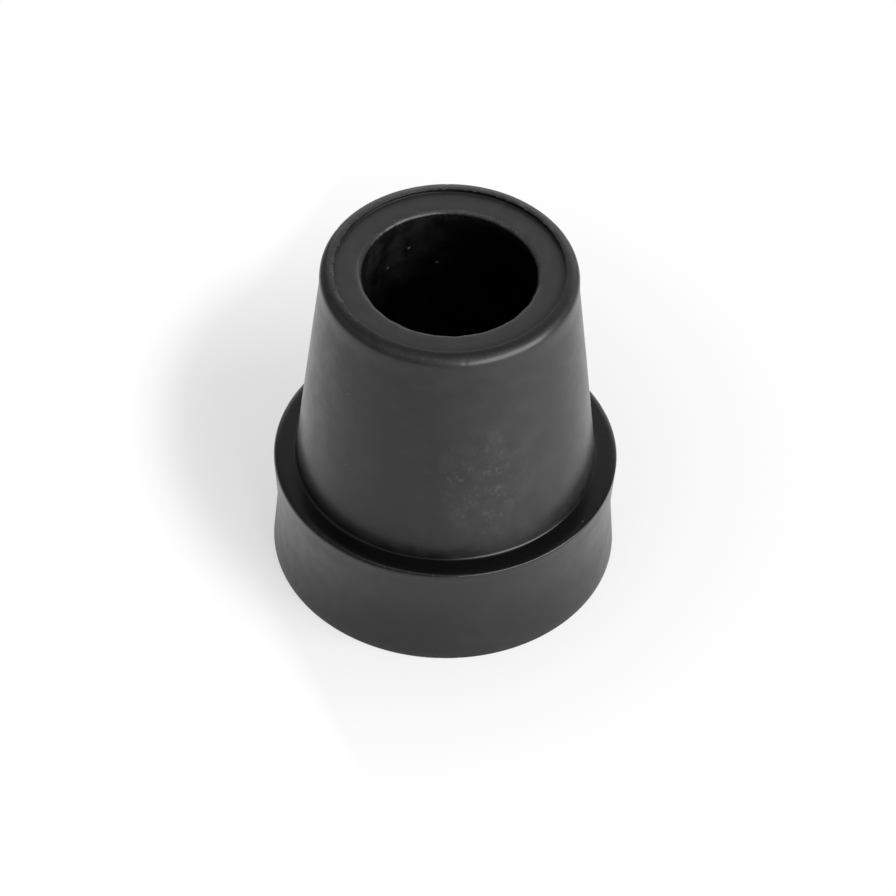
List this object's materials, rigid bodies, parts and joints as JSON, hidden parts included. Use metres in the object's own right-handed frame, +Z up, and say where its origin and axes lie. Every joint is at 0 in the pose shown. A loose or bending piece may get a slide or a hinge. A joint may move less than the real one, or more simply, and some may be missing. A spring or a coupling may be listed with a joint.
{
  "type": "rubber cane tip",
  "caption": "Moulded rubber tip for a walking cane: a tapered barrel with a blind bore for the shaft, over a flared foot with a grooved sole.",
  "frame": {"origin": "centre of the sole, where the tip stands on the floor", "axes": "+Z up along the bore's axis, out of the bore's mouth; X and Y are any two square directions, because the tip is round"},
  "size_m": [0.0384, 0.0384, 0.0417],
  "materials": {
    "black_rubber": "satin moulded black rubber with faint bloom and scuffs"
  },
  "bodies": {
    "root": {"cane_tip": "black_rubber"}
  },
  "joints": []
}
